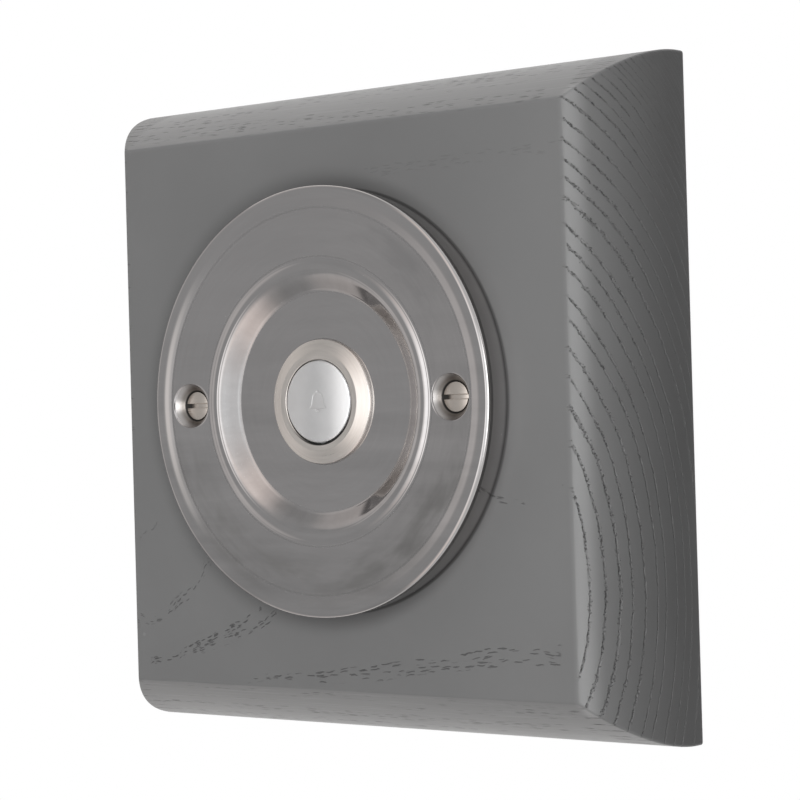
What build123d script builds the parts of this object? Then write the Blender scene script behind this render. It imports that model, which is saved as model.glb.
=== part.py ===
from build123d import *
from math import asin, cos, degrees, radians, sin, sqrt, tan
import os

# A wireless bell push: a round pressed metal plate with a central push switch, screwed
# to a moulded square block of painted oak. A hollow behind the plate holds the
# battery transmitter. Lengths are millimetres.
#
# The bell push is drawn lying on its back on a bench: X runs across it, Y up the wall
# and Z straight out from the wall, with Z = 0 on the block's back face and X = Y = 0 on
# the plate's axis. hang() then turns each piece to the wall frame, where the block's
# back face is centred on the origin in the plane Y = 0, the front faces -Y and +Z is up.
# Heights called "rise" are measured from the block's flat front panel.

# Wooden block
block_size = 150.0
block_depth = 31.2
moulding_width = 11.4
square_edge = 2.4
arris_round = 0.5
back_round = 1.2

# Hollow cut into the front of the block behind the plate
hollow_width = 62.0
hollow_radius = 42.0
hollow_corner = 4.0
hollow_floor = 6.0

# Pressed plate
plate_radius = 48.3
plate_foot_inset = 0.7
plate_rise = 7.8
plate_edge_round = 0.95
sheet = 1.6
field_rise = 7.3
field_dip = 0.65
rim_width = 4.9
rim_step_width = 2.4
rim_step_round = 8.0
rim_crease_round = 1.2
bead_radius = 30.1
bead_height = 0.45
bead_flank_width = 2.3
dish_lip_round = 3.4
dish_wall_angle = 34.0
dish_floor_rise = 4.1
# The plate sits a little above the middle of the block
plate_lift = 1.5

# Plate screws and the dimples that they sit in
screw_spacing = 75.0
countersink_radius = 5.05
countersink_angle = 74.0
dimple_wall = 1.4
screw_hole_radius = 1.95
screw_head_radius = 3.25
screw_head_rim = 0.33
screw_shank_radius = 1.75
screw_length = 19.0
screw_point = 4.0
screw_slot_width = 1.0
screw_slot_depth = 1.0

# Switch barrel with its chamfered bezel
bezel_radius = 13.9
bezel_wall = 0.9
bezel_height = 1.9
bezel_land_radius = 11.0
bezel_edge_round = 0.15
button_bore_radius = 9.4
lip_thickness = 2.0
barrel_radius = 11.0
barrel_bore_radius = 9.85
barrel_length = 12.0
barrel_end_chamfer = 0.4

# Seal, washer and nut on the barrel
seal_inner_radius = 11.8
seal_outer_radius = 12.9
seal_height = 0.6
washer_outer_radius = 14.2
washer_thickness = 0.8
washer_notches = 12
washer_notch_depth = 1.2
washer_notch_width = 1.6
nut_flat_width = 27.0
nut_height = 3.0
nut_chamfer = 0.5

# Push button and its travel
button_gap = 0.27
button_height = 2.0
button_edge_round = 0.3
button_face_thickness = 1.6
button_travel = 1.7
contact_air = 0.25
collar_gap = 0.15
collar_length = 2.5
cap_wall = 1.7

# Plunger, moving contact and spring inside the barrel
stem_radius = 2.4
peg_radius = 1.2
peg_length = 1.4
disc_radius = 7.6
disc_thickness = 0.5
clip_radius = 2.5
clip_thickness = 0.4
clip_lobe_radius = 0.45
clip_lobes = 3
spring_radius = 3.2
spring_wire = 0.5
spring_turns = 4.5
spring_pocket_radius = 3.85

# Insulating base and fixed contacts
base_plug_height = 2.0
base_flange_height = 3.0
base_floor = 1.5
contact_spacing = 16.3
contact_sheet = 0.5
contact_width = 3.2
contact_pad_length = 3.8
contact_bend = 0.3
contact_tab_length = 3.1
contact_dome_inset = 1.3
contact_dome_radius = 0.9
contact_dome_height = 0.4

# Transmitter board on its spacers
board_width = 46.0
board_height = 56.0
board_thickness = 1.6
board_corner = 2.0
board_screw_spacing_x = 39.0
board_screw_spacing_y = 49.0
board_hole_radius = 1.5
spacer_radius = 2.6
spacer_height = 4.2
board_screw_radius = 1.25
board_screw_head_radius = 2.5
board_screw_head_height = 1.5
board_screw_length = 9.5
board_screw_point = 1.2
cross_slot_length = 3.0
cross_slot_width = 0.6
cross_slot_depth = 0.8

# Coin cell, its holder and its strap
cell_radius = 10.0
cell_height = 3.2
cell_edge_round = 0.3
cell_y = -15.0
cell_clearance = 0.15
holder_radius = 12.0
holder_floor = 1.0
holder_rise = 2.4
holder_notch_width = 9.0
strap_width = 5.0
strap_sheet = 0.3
strap_bend = 0.6

# Parts soldered to the front of the board
radio_chip_size = (6.0, 5.0, 1.5)
radio_chip_place = (10.0, 17.0)
encoder_chip_size = (8.7, 3.9, 1.4)
encoder_chip_place = (-3.5, 16.0)
chip_pin_pitch = 1.27
chip_pin_width = 0.42
chip_pin_sheet = 0.2
chip_pin_reach = 1.1
chip_stand_off = 0.1
crystal_length = 10.2
crystal_width = 3.8
crystal_height = 3.4
crystal_flange = 0.5
crystal_place = (-2.0, 9.6)
capacitor_radius = 2.6
capacitor_height = 5.4
capacitor_foot = 0.6
capacitor_place = (-14.5, 15.5)
aerial_wire = 0.8
aerial_bend = 2.4
aerial_span = 26.0
aerial_height = 5.0
aerial_y = 23.0

# Leads from the switch to the board
lead_diameter = 1.1
lead_bend = 3.3
lead_level = 3.4
lead_pad_x = 15.5
lead_pad_y = 9.0
lead_tab_overlap = 1.8

# Wall-fixing holes in the floor of the hollow
wall_hole_spacing = 70.0
wall_hole_radius = 2.25
wall_countersink_radius = 4.4

# Clearances
thread_clearance = 0.05
running_clearance = 0.08
seat_clearance = 0.03
barrel_hole_clearance = 0.2
pilot_clearance = 0.02
pilot_overrun = 1.0
slot_clearance = 0.05

# Levels worked out from the sizes above
panel_level = block_depth
field_level = panel_level + field_rise
dish_level = panel_level + dish_floor_rise
sheet_back_level = dish_level - sheet
land_level = dish_level + bezel_height
lip_back_level = land_level - lip_thickness
barrel_end_level = dish_level - barrel_length
washer_back_level = sheet_back_level - washer_thickness
nut_back_level = washer_back_level - nut_height
button_face_level = dish_level + button_height
collar_front_level = lip_back_level - collar_gap
collar_back_level = collar_front_level - collar_length
cap_ceiling_level = button_face_level - button_face_thickness
plug_level = barrel_end_level + base_plug_height
dome_level = plug_level + contact_sheet + contact_dome_height
disc_back_level = dome_level + contact_air + button_travel
disc_front_level = disc_back_level + disc_thickness
base_back_level = barrel_end_level - base_flange_height
spring_seat_level = base_back_level + base_floor
board_back_level = hollow_floor + spacer_height
board_level = board_back_level + board_thickness
cell_level = board_level + holder_floor
plate_foot_radius = plate_radius - plate_foot_inset
rim_inner_radius = plate_radius - rim_width
bead_foot_radius = bead_radius + bead_flank_width
bead_foot_level = field_level - field_dip
field_slope = field_dip / (rim_inner_radius - bead_foot_radius)
sink_level = bead_foot_level + (screw_spacing / 2 - bead_foot_radius) * field_slope
countersink_tan = tan(radians(countersink_angle / 2))
countersink_depth = (countersink_radius - screw_hole_radius) / countersink_tan
cap_radius = button_bore_radius - button_gap
collar_radius = barrel_bore_radius - running_clearance
cap_bore_radius = collar_radius - cap_wall

# Left and right of the centre line
sides = (-1, 1)
on_floor = (Align.CENTER, Align.CENTER, Align.MIN)
under = (Align.CENTER, Align.CENTER, Align.MAX)


def turned(points):
    """A solid of revolution about Z from (radius, level) points."""
    outline = make_face(Polyline([(r, 0, z) for r, z in points], close=True))
    return revolve(outline, Axis.Z)


def tube(inner, outer, low, high):
    """A plain ring between two levels."""
    return turned([(inner, low), (outer, low), (outer, high), (inner, high)])


def corners(spacing_x, spacing_y):
    """The four corner positions of a rectangle about the centre."""
    return [(x * spacing_x / 2, y * spacing_y / 2) for x in sides for y in sides]


def block_section():
    """Section of the block: flat back, short square edge, swept moulding, flat panel."""
    half = block_size / 2
    panel = half - moulding_width
    sweep_rise = block_depth - square_edge
    sweep_radius = (moulding_width**2 + sweep_rise**2) / (2 * moulding_width)
    sweep_angle = degrees(asin(sweep_rise / sweep_radius))
    with BuildSketch(Plane.XZ) as section:
        with BuildLine():
            Polyline((0, 0), (half, 0), (half, square_edge))
            CenterArc((half - sweep_radius, square_edge), sweep_radius, 0, sweep_angle)
            Line((panel, block_depth), (0, block_depth))
            mirror(about=Plane.YZ)
        make_face()
        fillet(section.vertices().group_by(Axis.Y)[0], back_round)
        fillet(section.vertices().group_by(Axis.Y)[-1], arris_round)
    return section.sketch


def hollow_outline():
    """Barrel-shaped outline of the hollow, narrow enough to leave wood for the screws."""
    outline = Circle(hollow_radius) & Rectangle(hollow_width, 2 * hollow_radius)
    return fillet(outline.vertices(), hollow_corner)


def wood_block():
    """The moulded block: two crossed mouldings meet in mitred corners."""
    bar = extrude(block_section(), block_size / 2, both=True)
    block = Pos(0, -plate_lift, 0) * (bar & Rot(0, 0, 90) * bar)
    block -= Pos(0, 0, hollow_floor) * extrude(hollow_outline(), block_depth)
    pilot_depth = screw_length - (sink_level - screw_top_depth() - panel_level) + pilot_overrun
    for side in sides:
        pilot = Cylinder(screw_shank_radius + pilot_clearance, pilot_depth, align=under)
        block -= Pos(side * screw_spacing / 2, 0, panel_level) * pilot
        block -= Pos(0, side * wall_hole_spacing / 2, 0) * wall_hole()
    board_pilot_depth = board_screw_length - spacer_height - board_thickness
    for x, y in corners(board_screw_spacing_x, board_screw_spacing_y):
        pilot = Cylinder(board_screw_radius + pilot_clearance, board_pilot_depth, align=under)
        block -= Pos(x, y, hollow_floor) * pilot
    return block


def wall_hole():
    """Countersunk through hole for a wall screw."""
    cone_depth = wall_countersink_radius - wall_hole_radius
    cone_level = hollow_floor - cone_depth
    shank = Cylinder(wall_hole_radius, hollow_floor, align=on_floor)
    cone = Cone(wall_hole_radius, wall_countersink_radius, cone_depth, align=on_floor)
    return shank + Pos(0, 0, cone_level) * cone


def ogee(start, end):
    """Two tangent arcs that carry a flat at one level over to a flat at another."""
    middle = ((start[0] + end[0]) / 2, (start[1] + end[1]) / 2)
    TangentArc(start, middle, tangent=(1, 0))
    TangentArc(end, middle, tangent=(-1, 0))


def sheet_back(corner, before, after):
    """The point on the back of the sheet behind a bend from one slope to the next."""
    middle = radians((before + after) / 2)
    reach = sheet / cos(radians((after - before) / 2))
    return (corner[0] + reach * sin(middle), corner[1] - reach * cos(middle))


def plate_section():
    """Half section of the pressed plate, from the barrel hole out to the foot."""
    hole = barrel_radius + barrel_hole_clearance
    wall_bend = radians(dish_wall_angle)
    crown = (bead_radius, bead_foot_level + bead_height)
    lip_drop = dish_lip_round * (1 - cos(wall_bend))
    lip = (crown[0] - dish_lip_round * sin(wall_bend), crown[1] - lip_drop)
    floor_edge = (lip[0] - (lip[1] - dish_level) / tan(wall_bend), dish_level)
    wall_height = bead_foot_level - dish_level
    wall_top = (floor_edge[0] + wall_height / tan(wall_bend), bead_foot_level)
    bead_foot = (bead_foot_radius, bead_foot_level)
    step_foot = (rim_inner_radius, field_level)
    step_top = (rim_inner_radius + rim_step_width, panel_level + plate_rise)
    rim = (plate_radius, panel_level + plate_rise)
    rounds = {rim: plate_edge_round, step_top: rim_step_round, step_foot: rim_crease_round}
    with BuildSketch(Plane.XZ) as section:
        with BuildLine():
            Polyline((hole, dish_level), floor_edge, lip)
            TangentArc(crown, lip, tangent=(-1, 0))
            ogee(crown, bead_foot)
            Polyline(
                bead_foot,
                step_foot,
                step_top,
                rim,
                (plate_foot_radius, panel_level),
                (plate_foot_radius - sheet, panel_level),
                (plate_radius - sheet, field_level - sheet),
                (rim_inner_radius, field_level - sheet),
                (bead_foot_radius, bead_foot_level - sheet),
                sheet_back(wall_top, dish_wall_angle, 0),
                sheet_back(floor_edge, 0, dish_wall_angle),
                (hole, sheet_back_level),
                (hole, dish_level),
            )
        make_face()
        for corner, radius in rounds.items():
            fillet(section.vertices().sort_by_distance(Vector(*corner))[0], radius)
    return section.sketch


def push_plate():
    """The pressed plate with its two screw dimples."""
    plate = revolve(plate_section(), Axis.Z)
    dimple_outer = countersink_radius + dimple_wall
    dimple_inner = screw_hole_radius + dimple_wall
    dimple = Cone(dimple_inner, dimple_outer, countersink_depth, align=on_floor)
    keep = Cylinder(dimple_outer, countersink_depth - sheet / 2, align=on_floor)
    sink_top_radius = countersink_radius + sheet * countersink_tan
    sink_height = countersink_depth + sheet
    countersink = Cone(screw_hole_radius, sink_top_radius, sink_height, align=on_floor)
    for side in sides:
        spot = Pos(side * screw_spacing / 2, 0, sink_level - countersink_depth)
        plate += spot * (dimple & keep)
        plate -= spot * countersink
        plate -= spot * Cylinder(screw_hole_radius, 2 * sheet)
    return plate


def screw_top_depth():
    """Depth of a seated plate screw's flat top below the mouth of its sink."""
    seat_depth = (countersink_radius - screw_head_radius - seat_clearance) / countersink_tan
    return seat_depth - screw_head_rim


def plate_screw():
    """Slotted countersunk wood screw with its flat top at Z = 0."""
    cone_end = -screw_head_rim - (screw_head_radius - screw_shank_radius) / countersink_tan
    screw = turned(
        [
            (0, 0),
            (screw_head_radius, 0),
            (screw_head_radius, -screw_head_rim),
            (screw_shank_radius, cone_end),
            (screw_shank_radius, screw_point - screw_length),
            (0, -screw_length),
        ]
    )
    slot = Box(2 * screw_head_radius, screw_slot_width, screw_slot_depth, align=under)
    return screw - slot


def plate_screws():
    """The two plate screws, set down in their dimples with their slots level."""
    top = sink_level - screw_top_depth()
    return [Pos(side * screw_spacing / 2, 0, top) * plate_screw() for side in sides]


def switch_barrel():
    """Threaded barrel and bezel in one turned piece, with an inner lip for the button."""
    barrel = turned(
        [
            (button_bore_radius, land_level),
            (bezel_land_radius, land_level),
            (bezel_radius, dish_level + bezel_wall),
            (bezel_radius, dish_level),
            (barrel_radius, dish_level),
            (barrel_radius, barrel_end_level + barrel_end_chamfer),
            (barrel_radius - barrel_end_chamfer, barrel_end_level),
            (barrel_bore_radius, barrel_end_level),
            (barrel_bore_radius, lip_back_level),
            (button_bore_radius, lip_back_level),
        ]
    )
    rims = barrel.edges().filter_by(GeomType.CIRCLE)
    rims = rims.filter_by(lambda rim: rim.center().Z > dish_level + seal_height)
    barrel = fillet(rims, bezel_edge_round)
    groove = tube(
        seal_inner_radius - thread_clearance,
        seal_outer_radius + thread_clearance,
        dish_level,
        dish_level + seal_height,
    )
    return barrel - groove


def seal_ring():
    """Flat rubber seal in the groove under the bezel."""
    return tube(seal_inner_radius, seal_outer_radius, dish_level, dish_level + seal_height)


def lock_washer():
    """Toothed washer between the plate and the nut."""
    washer = tube(
        barrel_radius + thread_clearance,
        washer_outer_radius,
        washer_back_level,
        sheet_back_level,
    )
    notch = Box(2 * washer_notch_depth, washer_notch_width, 2 * washer_thickness)
    for place in PolarLocations(washer_outer_radius, washer_notches):
        washer -= Pos(0, 0, washer_back_level) * place * notch
    return washer


def switch_nut():
    """Thin hexagon nut with chamfered corners."""
    corner_radius = nut_flat_width / sqrt(3)
    hexagon = RegularPolygon(corner_radius, 6)
    nut = Pos(0, 0, nut_back_level) * extrude(hexagon, nut_height)
    crown = turned(
        [
            (0, nut_back_level),
            (corner_radius - nut_chamfer, nut_back_level),
            (corner_radius, nut_back_level + nut_chamfer),
            (corner_radius, nut_back_level + nut_height - nut_chamfer),
            (corner_radius - nut_chamfer, nut_back_level + nut_height),
            (0, nut_back_level + nut_height),
        ]
    )
    bore = Cylinder(barrel_radius + thread_clearance, nut_height, align=on_floor)
    return (nut & crown) - Pos(0, 0, nut_back_level) * bore


def push_button():
    """Turned metal cap, hollow behind, with a collar that the lip holds back."""
    cap = turned(
        [
            (0, button_face_level),
            (cap_radius, button_face_level),
            (cap_radius, collar_front_level),
            (collar_radius, collar_front_level),
            (collar_radius, collar_back_level),
            (cap_bore_radius, collar_back_level),
            (cap_bore_radius, cap_ceiling_level),
            (0, cap_ceiling_level),
        ]
    )
    rim = cap.edges().filter_by(GeomType.CIRCLE).group_by(Axis.Z)[-1]
    return fillet(rim, button_edge_round)


def plunger():
    """Moulded carrier pressed into the cap; its stem holds the moving contact."""
    return turned(
        [
            (0, cap_ceiling_level),
            (cap_bore_radius - seat_clearance, cap_ceiling_level),
            (cap_bore_radius - seat_clearance, collar_back_level),
            (stem_radius, collar_back_level),
            (stem_radius, disc_front_level),
            (peg_radius, disc_front_level),
            (peg_radius, disc_front_level - peg_length),
            (0, disc_front_level - peg_length),
        ]
    )


def contact_disc():
    """Moving contact: a flat disc that bridges the fixed contacts at any rotation."""
    return tube(peg_radius + seat_clearance, disc_radius, disc_back_level, disc_front_level)


def retaining_clip():
    """Push-on clip with a lobed hole that holds the disc on its peg."""
    inner = peg_radius + seat_clearance
    clip = tube(inner, clip_radius, disc_back_level - clip_thickness, disc_back_level)
    relief = Cylinder(clip_lobe_radius, 2 * clip_thickness)
    for place in PolarLocations(inner + clip_lobe_radius / 2, clip_lobes):
        clip -= Pos(0, 0, disc_back_level - clip_thickness) * place * relief
    return clip


def return_spring():
    """Compression spring between the base's pocket and the contact disc."""
    height = disc_back_level - spring_seat_level - spring_wire
    coil = Helix(pitch=height / spring_turns, height=height, radius=spring_radius)
    wire = sweep(Plane(coil @ 0, z_dir=coil % 0) * Circle(spring_wire / 2), path=coil)
    return Pos(0, 0, spring_seat_level + spring_wire / 2) * wire


def switch_base():
    """Moulded base that closes the barrel and carries the fixed contacts."""
    base = turned(
        [
            (0, base_back_level),
            (barrel_radius, base_back_level),
            (barrel_radius, barrel_end_level),
            (barrel_bore_radius - seat_clearance, barrel_end_level),
            (barrel_bore_radius - seat_clearance, plug_level),
            (spring_pocket_radius, plug_level),
            (spring_pocket_radius, spring_seat_level),
            (0, spring_seat_level),
        ]
    )
    slot_height = base_plug_height + base_flange_height
    slot = Box(
        contact_sheet + 2 * slot_clearance,
        contact_width + 2 * slot_clearance,
        slot_height,
        align=on_floor,
    )
    relief_width = contact_bend + contact_sheet
    relief = Box(relief_width, contact_width + 2 * slot_clearance, relief_width, align=under)
    for side in sides:
        base -= Pos(side * contact_spacing / 2, 0, base_back_level) * slot
        inner_edge = side * (contact_spacing - contact_bend) / 2
        base -= Pos(inner_edge, 0, plug_level) * relief
    return base


def fixed_contact(side):
    """Bent strip: a domed pad on the base and a tab that comes out behind it."""
    leg_outer = contact_spacing / 2 + contact_sheet / 2
    pad_inner = leg_outer - contact_pad_length
    pad_top = plug_level + contact_sheet
    tab_end = base_back_level - contact_tab_length
    with BuildSketch(Plane.XZ) as bend:
        with BuildLine() as outside:
            FilletPolyline(
                (pad_inner, pad_top),
                (leg_outer, pad_top),
                (leg_outer, tab_end),
                radius=contact_bend + contact_sheet,
            )
        with BuildLine() as inside:
            FilletPolyline(
                (pad_inner, plug_level),
                (leg_outer - contact_sheet, plug_level),
                (leg_outer - contact_sheet, tab_end),
                radius=contact_bend,
            )
            Line((pad_inner, pad_top), (pad_inner, plug_level))
            Line((leg_outer, tab_end), (leg_outer - contact_sheet, tab_end))
        make_face(outside.edges() + inside.edges())
    strip = extrude(bend.sketch, contact_width / 2, both=True)
    dome_ball = (contact_dome_radius**2 + contact_dome_height**2) / (2 * contact_dome_height)
    dome_centre = pad_top + contact_dome_height - dome_ball
    dome_x = pad_inner + contact_dome_inset
    dome = Pos(dome_x, 0, dome_centre) * Sphere(dome_ball)
    cap = Cylinder(contact_dome_radius, contact_dome_height, align=on_floor)
    strip += dome & Pos(dome_x, 0, pad_top) * cap
    return strip if side > 0 else mirror(strip, Plane.YZ)


def lead_wire(side):
    """Insulated lead from a switch tab down to its pad on the board."""
    tab_face = contact_spacing / 2 + contact_sheet / 2
    tab_end = base_back_level - contact_tab_length
    start_x = tab_face + lead_diameter / 2 + seat_clearance
    run_level = board_level + lead_level
    route = FilletPolyline(
        (side * start_x, 0, tab_end + lead_tab_overlap),
        (side * start_x, 0, run_level),
        (side * lead_pad_x, lead_pad_y, run_level),
        (side * lead_pad_x, lead_pad_y, board_level),
        radius=lead_bend,
    )
    profile = Plane(route @ 0, z_dir=route % 0) * Circle(lead_diameter / 2)
    return sweep(profile, path=route)


def transmitter_board():
    """Circuit board with its four screw holes."""
    outline = RectangleRounded(board_width, board_height, board_corner)
    for x, y in corners(board_screw_spacing_x, board_screw_spacing_y):
        outline -= Pos(x, y) * Circle(board_hole_radius)
    return Pos(0, 0, board_back_level) * extrude(outline, board_thickness)


def board_spacers():
    """Four tubes that hold the board off the floor of the hollow."""
    spacer = tube(board_hole_radius, spacer_radius, hollow_floor, board_back_level)
    places = corners(board_screw_spacing_x, board_screw_spacing_y)
    return [Pos(x, y, 0) * spacer for x, y in places]


def board_screw():
    """Pan-head screw with a cross slot and its seat at Z = 0."""
    screw = turned(
        [
            (0, board_screw_head_height),
            (board_screw_head_radius - board_screw_head_height / 2, board_screw_head_height),
            (board_screw_head_radius, board_screw_head_height / 2),
            (board_screw_head_radius, 0),
            (board_screw_radius, 0),
            (board_screw_radius, board_screw_point - board_screw_length),
            (0, -board_screw_length),
        ]
    )
    slot = Box(cross_slot_length, cross_slot_width, cross_slot_depth, align=under)
    cross = slot + Rot(0, 0, 90) * slot
    return screw - Pos(0, 0, board_screw_head_height) * cross


def board_screws():
    """The four screws through the board and its spacers into the wood."""
    places = corners(board_screw_spacing_x, board_screw_spacing_y)
    return [Pos(x, y, board_level) * board_screw() for x, y in places]


def battery_holder():
    """Round moulded tray for the coin cell, notched for a fingertip and the strap."""
    wall_top = cell_level + holder_rise
    pocket_radius = cell_radius + cell_clearance
    tray = Cylinder(holder_radius, wall_top - board_level, align=on_floor)
    tray -= Pos(0, 0, holder_floor) * Cylinder(pocket_radius, holder_rise, align=on_floor)
    notch = Box(holder_notch_width, holder_radius, holder_rise, align=on_floor)
    tray -= Pos(0, -holder_radius, holder_floor) * notch
    return Pos(0, cell_y, board_level) * tray


def battery_cell():
    """Sealed coin cell with a stepped rim."""
    can = Cylinder(cell_radius, cell_height, align=on_floor)
    can = fillet(can.edges().filter_by(GeomType.CIRCLE), cell_edge_round)
    return Pos(0, cell_y, cell_level) * can


def battery_strap():
    """Sprung steel strap over the cell, with both feet soldered to the board."""
    top = cell_level + cell_height + strap_sheet
    outer = holder_radius + strap_sheet + seat_clearance
    inner = outer - strap_sheet
    with BuildSketch(Plane.XZ) as bend:
        with BuildLine() as outside:
            FilletPolyline(
                (-outer, board_level),
                (-outer, top),
                (outer, top),
                (outer, board_level),
                radius=strap_bend + strap_sheet,
            )
        with BuildLine() as inside:
            FilletPolyline(
                (-inner, board_level),
                (-inner, top - strap_sheet),
                (inner, top - strap_sheet),
                (inner, board_level),
                radius=strap_bend,
            )
            Line((-outer, board_level), (-inner, board_level))
            Line((outer, board_level), (inner, board_level))
        make_face(outside.edges() + inside.edges())
    return Pos(0, cell_y, 0) * extrude(bend.sketch, strap_width / 2, both=True)


def chip(size, place):
    """Moulded chip with gull-wing legs along both long sides."""
    length, width, height = size
    body = Pos(0, 0, chip_stand_off) * Box(length, width, height, align=on_floor)
    leg_level = height / 2
    reach = width / 2 + chip_pin_reach
    knee = width / 2 + chip_pin_reach / 2
    with BuildSketch(Plane.YZ) as leg_shape:
        with BuildLine():
            Polyline(
                (0, leg_level),
                (knee, leg_level),
                (knee, chip_pin_sheet),
                (reach, chip_pin_sheet),
                (reach, 0),
                (knee - chip_pin_sheet, 0),
                (knee - chip_pin_sheet, leg_level - chip_pin_sheet),
                (0, leg_level - chip_pin_sheet),
                close=True,
            )
        make_face()
    leg = extrude(leg_shape.sketch, chip_pin_width / 2, both=True)
    pairs = int((length - chip_pin_width) / chip_pin_pitch)
    row = GridLocations(chip_pin_pitch, 0, pairs, 1)
    for spot in row:
        body += spot * leg
        body += spot * mirror(leg, Plane.XZ)
    return Pos(*place, board_level) * body


def crystal_can():
    """Flat metal can of the crystal on its flange."""
    can = extrude(SlotOverall(crystal_length, crystal_width), crystal_height)
    flange_length = crystal_length + 2 * crystal_flange
    flange_width = crystal_width + 2 * crystal_flange
    flange = extrude(SlotOverall(flange_length, flange_width), crystal_flange)
    return Pos(*crystal_place, board_level) * (can + flange)


def capacitor():
    """Upright aluminium can on its square foot."""
    foot_size = 2 * (capacitor_radius + capacitor_foot / 2)
    foot = Box(foot_size, foot_size, capacitor_foot, align=on_floor)
    can = Cylinder(capacitor_radius, capacitor_height, align=on_floor)
    can = fillet(can.edges().filter_by(GeomType.CIRCLE).group_by(Axis.Z)[-1], cell_edge_round)
    return Pos(*capacitor_place, board_level) * (foot + can)


def aerial_loop():
    """Wire loop aerial standing across the top of the board."""
    route = FilletPolyline(
        (-aerial_span / 2, aerial_y, board_level),
        (-aerial_span / 2, aerial_y, board_level + aerial_height),
        (aerial_span / 2, aerial_y, board_level + aerial_height),
        (aerial_span / 2, aerial_y, board_level),
        radius=aerial_bend,
    )
    profile = Plane(route @ 0, z_dir=route % 0) * Circle(aerial_wire / 2)
    return sweep(profile, path=route)


def hang(solids):
    """Turn a piece, or a group of like pieces, from the bench to the wall."""
    upright = Pos(0, 0, plate_lift) * Rot(90, 0, 0)
    if isinstance(solids, list):
        return Compound([upright * solid for solid in solids])
    return upright * solids


pieces = {
    "wood_block": wood_block(),
    "push_plate": push_plate(),
    "plate_screws": plate_screws(),
    "switch_barrel": switch_barrel(),
    "seal_ring": seal_ring(),
    "lock_washer": lock_washer(),
    "switch_nut": switch_nut(),
    "push_button": push_button(),
    "plunger": plunger(),
    "contact_disc": contact_disc(),
    "retaining_clip": retaining_clip(),
    "return_spring": return_spring(),
    "switch_base": switch_base(),
    "fixed_contact_left": fixed_contact(-1),
    "fixed_contact_right": fixed_contact(1),
    "lead_wire_left": lead_wire(-1),
    "lead_wire_right": lead_wire(1),
    "transmitter_board": transmitter_board(),
    "board_spacers": board_spacers(),
    "board_screws": board_screws(),
    "battery_holder": battery_holder(),
    "battery_cell": battery_cell(),
    "battery_strap": battery_strap(),
    "radio_chip": chip(radio_chip_size, radio_chip_place),
    "encoder_chip": chip(encoder_chip_size, encoder_chip_place),
    "crystal_can": crystal_can(),
    "capacitor": capacitor(),
    "aerial_loop": aerial_loop(),
}

os.makedirs("parts", exist_ok=True)
for name, piece in pieces.items():
    export_step(hang(piece), f"parts/{name}.step")
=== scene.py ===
from math import asin, cos, pi, radians, sin, sqrt, tan

import bmesh
import bpy
from mathutils import Matrix, Vector


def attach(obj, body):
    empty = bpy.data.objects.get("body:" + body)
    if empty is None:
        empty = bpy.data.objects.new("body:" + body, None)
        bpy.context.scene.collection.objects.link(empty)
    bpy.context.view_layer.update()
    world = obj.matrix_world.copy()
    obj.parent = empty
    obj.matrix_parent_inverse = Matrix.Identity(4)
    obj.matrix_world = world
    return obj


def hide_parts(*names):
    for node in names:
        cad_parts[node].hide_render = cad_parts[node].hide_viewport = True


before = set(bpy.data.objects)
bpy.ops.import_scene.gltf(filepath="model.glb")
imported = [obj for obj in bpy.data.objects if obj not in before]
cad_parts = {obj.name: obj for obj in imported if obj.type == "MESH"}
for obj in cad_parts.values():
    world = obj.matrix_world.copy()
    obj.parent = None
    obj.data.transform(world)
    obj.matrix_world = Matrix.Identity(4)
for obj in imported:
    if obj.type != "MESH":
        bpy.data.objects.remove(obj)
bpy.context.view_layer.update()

# A wireless bell push: a polished, pressed plate with a central push, on a moulded block of
# grey-painted oak. Sizes are in millimetres, as on the bench drawing of the solids: X runs
# across, "up" runs up the wall from the plate's axis, and a level is a height from the wall.
MM = 0.001
plate_lift = 1.5

# Block
block_half = 75.0
block_depth = 31.2
moulding_width = 11.4
square_edge = 2.4
arris_round = 0.5
back_round = 1.2
mitre_round = 0.45
hollow_half = 31.0
hollow_radius = 42.0
hollow_corner = 4.0
hollow_floor = 6.0
wall_hole_up = 35.0
wall_hole_radius = 2.25
wall_sink_radius = 4.4
board_hole_across = 19.5
board_hole_up = 24.5
board_hole_radius = 1.27
board_hole_depth = 3.7

# Plate
plate_radius = 48.3
foot_radius = 47.6
rim_level = 39.0
field_level = 38.5
dish_level = 35.3
sheet = 1.6
edge_round = 0.95
step_foot_radius = 43.4
step_top_radius = 45.8
step_round = 8.0
step_crease_round = 1.2
bead_foot_level = 37.85
bead_foot_radius = 32.4
bead_radius = 30.1
bead_height = 0.45
lip_round = 3.4
wall_angle = 34.0
crease_round = 0.4
barrel_hole = 11.2
field_slope = (field_level - bead_foot_level) / (step_foot_radius - bead_foot_radius)

# Plate screws
screw_spacing = 75.0
sink_radius = 5.05
screw_hole = 1.95
sink_tan = tan(radians(37.0))
sink_depth = (sink_radius - screw_hole) / sink_tan
dimple_wall = 1.4
head_radius = 3.25
head_rim = 0.33
shank_radius = 1.75
screw_length = 19.0
screw_point = 4.0
slot_width = 1.0
slot_depth = 1.0
sink_level = bead_foot_level + (screw_spacing / 2 - bead_foot_radius) * field_slope
head_level = sink_level - (sink_radius - head_radius - 0.03) / sink_tan + head_rim

# Bezel and barrel
land_level = 37.2
land_radius = 11.0
bezel_level = 36.2
bezel_radius = 13.9
chamfer_slope = (land_level - bezel_level) / (bezel_radius - land_radius)
bore_radius = 9.4
lip_back = 35.2
barrel_radius = 11.0
barrel_bore = 9.85
barrel_end = 23.3
seal_inner = 11.75
seal_outer = 12.95
seal_level = 35.9

# Button
button_level = 37.3
button_radius = 9.13
button_round = 0.3
collar_radius = 9.77
collar_front = 35.05
collar_back = 32.55
cap_bore = 8.07
cap_ceiling = 35.7

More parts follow.
